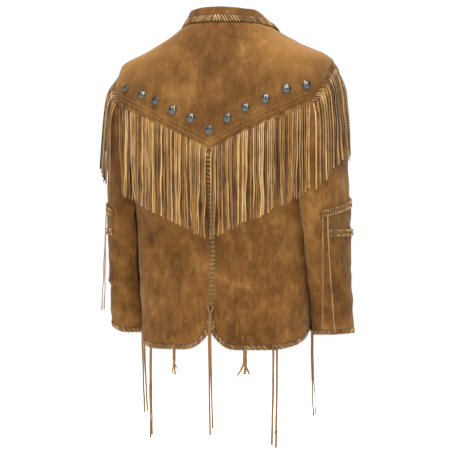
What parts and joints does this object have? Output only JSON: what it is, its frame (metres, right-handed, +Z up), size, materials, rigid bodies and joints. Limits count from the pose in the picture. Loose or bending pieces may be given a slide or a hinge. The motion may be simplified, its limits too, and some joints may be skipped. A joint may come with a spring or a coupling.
{
  "type": "fringed suede jacket",
  "caption": "Western suede jacket with a pointed back yoke, long fringes, domed conchos, laced edges, elbow patches and thong ties, filled out as worn and open at neck, hem and cuffs.",
  "frame": {"origin": "between the shoulders at the height of the back neck seam, where the wearer holds the jacket up", "axes": "+Z up, -Y to the wearer's front, +X to the wearer's left"},
  "size_m": [0.6017, 0.2789, 0.9931],
  "materials": {
    "suede": "napped tan suede",
    "suede_dark": "napped dark brown suede",
    "fringe": "cut suede strands",
    "thong": "cut suede thong",
    "gunmetal": "darkened domed metal",
    "button": "covered leather buttons"
  },
  "bodies": {
    "root": {"back_left": "suede", "back_right": "suede", "button_1": "button", "button_2": "button", "button_3": "button", "button_4": "button", "button_5": "button", "collar": "suede", "concho_01": "gunmetal", "concho_02": "gunmetal", "concho_03": "gunmetal", "concho_04": "gunmetal", "concho_05": "gunmetal", "concho_06": "gunmetal", "concho_07": "gunmetal", "concho_08": "gunmetal", "concho_09": "gunmetal", "concho_10": "gunmetal", "concho_11": "gunmetal", "cuff_tie_left": "thong", "cuff_tie_right": "thong", "elbow_left": "suede_dark", "elbow_right": "suede_dark", "elbow_tie_left": "thong", "elbow_tie_right": "thong", "fringe_arm_left": "fringe", "fringe_arm_right": "fringe", "fringe_back": "fringe", "front_left": "suede", "front_right": "suede", "hem_tassel_left": "thong", "hem_tassel_right": "thong", "hem_tie_left": "thong", "hem_tie_right": "thong", "sleeve_outer_left": "suede", "sleeve_outer_right": "suede", "sleeve_under_left": "suede", "sleeve_under_right": "suede", "vent_tie": "thong", "yoke_back": "suede"}
  },
  "joints": []
}
